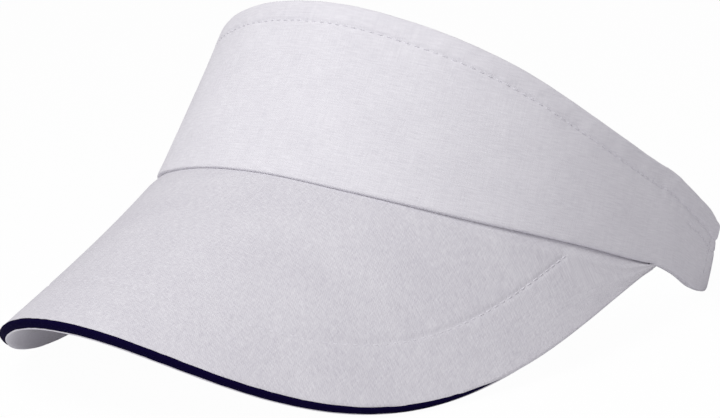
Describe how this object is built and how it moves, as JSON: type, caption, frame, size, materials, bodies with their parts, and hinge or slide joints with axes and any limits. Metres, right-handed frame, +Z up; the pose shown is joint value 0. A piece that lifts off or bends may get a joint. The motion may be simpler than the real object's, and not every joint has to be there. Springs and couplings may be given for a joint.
{
  "type": "sun visor",
  "caption": "Open-crown cloth sun visor with a leaning head band, an arched stiff peak edged with dark piping, an inner sweatband and an adjustable hook-and-loop strap behind.",
  "frame": {"origin": "On the table the visor rests on, under the middle of its bounding box.", "axes": "+Y runs from the front of the peak to the back strap, +Z is up, +X is the wearer's left."},
  "size_m": [0.1792, 0.2814, 0.1095],
  "materials": {
    "band_twill": "white brushed cotton twill, matt",
    "peak_twill": "white brushed cotton twill, matt",
    "under_twill": "white cotton twill, matt",
    "piping_navy": "dark navy cotton piping, matt",
    "lining_cloth": "plain white cotton, matt",
    "sweatband_towelling": "white towelling with short loops",
    "buckram": "stiff open-weave interlining",
    "label_satin": "blank white woven satin",
    "board_plastic": "pale flexible polyethylene sheet",
    "strap_webbing": "white woven webbing",
    "hook_tape": "white hook tape, fine stiff hooks",
    "loop_tape": "white loop tape, soft nap"
  },
  "bodies": {
    "visor": {"band_outer": "band_twill", "band_stiffener": "buckram", "band_lining": "lining_cloth", "top_facing": "band_twill", "sweatband": "sweatband_towelling", "seam_tape": "lining_cloth", "size_label": "label_satin", "peak_top_cover": "peak_twill", "peak_board": "board_plastic", "peak_under_cover": "under_twill", "peak_piping": "piping_navy", "hook_strap_root": "strap_webbing", "loop_strap_root": "strap_webbing"},
    "hook_end": {"hook_strap": "strap_webbing", "hook_patch": "hook_tape"},
    "loop_end": {"loop_strap": "strap_webbing", "loop_patch": "loop_tape"}
  },
  "joints": [
    {"name": "hook_strap_peel", "type": "hinge", "parent": "visor", "child": "hook_end", "pos_m": [-0.06344, 0.09859, 0.01227], "axis": [0.0479, 0.4799, 0.876], "range_deg": [0, 90]},
    {"name": "loop_strap_flex", "type": "hinge", "parent": "visor", "child": "loop_end", "pos_m": [0.06344, 0.09859, 0.01227], "axis": [-0.0479, 0.4799, 0.876], "range_deg": [0, 35]}
  ]
}
